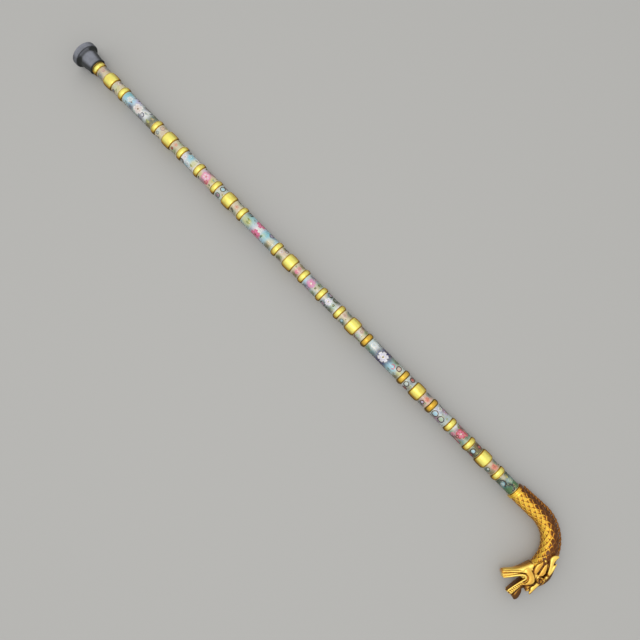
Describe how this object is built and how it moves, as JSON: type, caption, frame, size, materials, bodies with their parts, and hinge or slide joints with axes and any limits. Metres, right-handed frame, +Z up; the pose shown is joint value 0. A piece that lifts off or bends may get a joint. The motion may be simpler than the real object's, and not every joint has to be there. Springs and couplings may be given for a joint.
{
  "type": "walking cane",
  "caption": "Straight walking cane of enamelled tube beads and gilt spacers on a steel rod, with a cast dragon-head crook to hold and a flanged rubber foot.",
  "frame": {"origin": "centre of the rubber foot's flat face", "axes": "+X along the shaft from the foot to the handle; the dragon's head hooks over to -Y; +Z is up as the cane lies on its side on a table"},
  "size_m": [0.9162, 0.1131, 0.036],
  "materials": {
    "gilt_beads": "bright polished gilt, darker orange at the edges",
    "enamel_small": "glossy cloisonne enamel, pinkish beige with wire scrolls and small blue-green and red dots",
    "enamel_medium": "glossy cloisonne enamel, pale blue and white with flowers and leaves",
    "enamel_long": "glossy cloisonne enamel, turquoise with flowers on navy patches",
    "enamel_collar": "glossy cloisonne enamel, dark green and teal with black scrolls",
    "rod_steel": "plain drawn steel",
    "fastener_steel": "zinc plated",
    "tip_brass": "turned, satin",
    "gilt_handle": "polished gilt casting with darker recesses",
    "foot_rubber": "moulded black rubber, satin",
    "disc_steel": "zinc plated"
  },
  "bodies": {
    "cane": {"ring_spacer_01": "gilt_beads", "ring_spacer_02": "gilt_beads", "ring_spacer_03": "gilt_beads", "ring_spacer_04": "gilt_beads", "ring_spacer_05": "gilt_beads", "ring_spacer_06": "gilt_beads", "ring_spacer_07": "gilt_beads", "ring_spacer_08": "gilt_beads", "ring_spacer_09": "gilt_beads", "ring_spacer_10": "gilt_beads", "ring_spacer_11": "gilt_beads", "ring_spacer_12": "gilt_beads", "ring_spacer_13": "gilt_beads", "ring_spacer_14": "gilt_beads", "ring_spacer_15": "gilt_beads", "ring_spacer_16": "gilt_beads", "ring_spacer_17": "gilt_beads", "gilt_drum_01": "gilt_beads", "gilt_drum_02": "gilt_beads", "gilt_drum_03": "gilt_beads", "gilt_drum_04": "gilt_beads", "gilt_drum_05": "gilt_beads", "gilt_drum_06": "gilt_beads", "gilt_drum_07": "gilt_beads", "small_bead_01": "enamel_small", "small_bead_02": "enamel_small", "small_bead_03": "enamel_small", "small_bead_04": "enamel_small", "small_bead_05": "enamel_small", "small_bead_06": "enamel_small", "small_bead_07": "enamel_small", "small_bead_08": "enamel_small", "small_bead_09": "enamel_small", "small_bead_10": "enamel_small", "small_bead_11": "enamel_small", "small_bead_12": "enamel_small", "small_bead_13": "enamel_small", "small_bead_14": "enamel_small", "medium_bead_01": "enamel_medium", "medium_bead_02": "enamel_medium", "medium_bead_03": "enamel_medium", "medium_bead_04": "enamel_medium", "medium_bead_05": "enamel_medium", "medium_bead_06": "enamel_medium", "long_bead_01": "enamel_long", "long_bead_02": "enamel_long", "long_bead_03": "enamel_long", "collar_bead": "enamel_collar", "core_rod": "rod_steel", "end_nut": "fastener_steel", "end_washer": "fastener_steel", "tip_sleeve": "tip_brass", "dragon_handle": "gilt_handle"},
    "foot": {"ferrule": "foot_rubber", "ferrule_washer": "disc_steel"}
  },
  "joints": [
    {"name": "foot_pull", "type": "slide", "parent": "cane", "child": "foot", "axis": [-1, 0, 0], "range_m": [0, 0.04]}
  ]
}
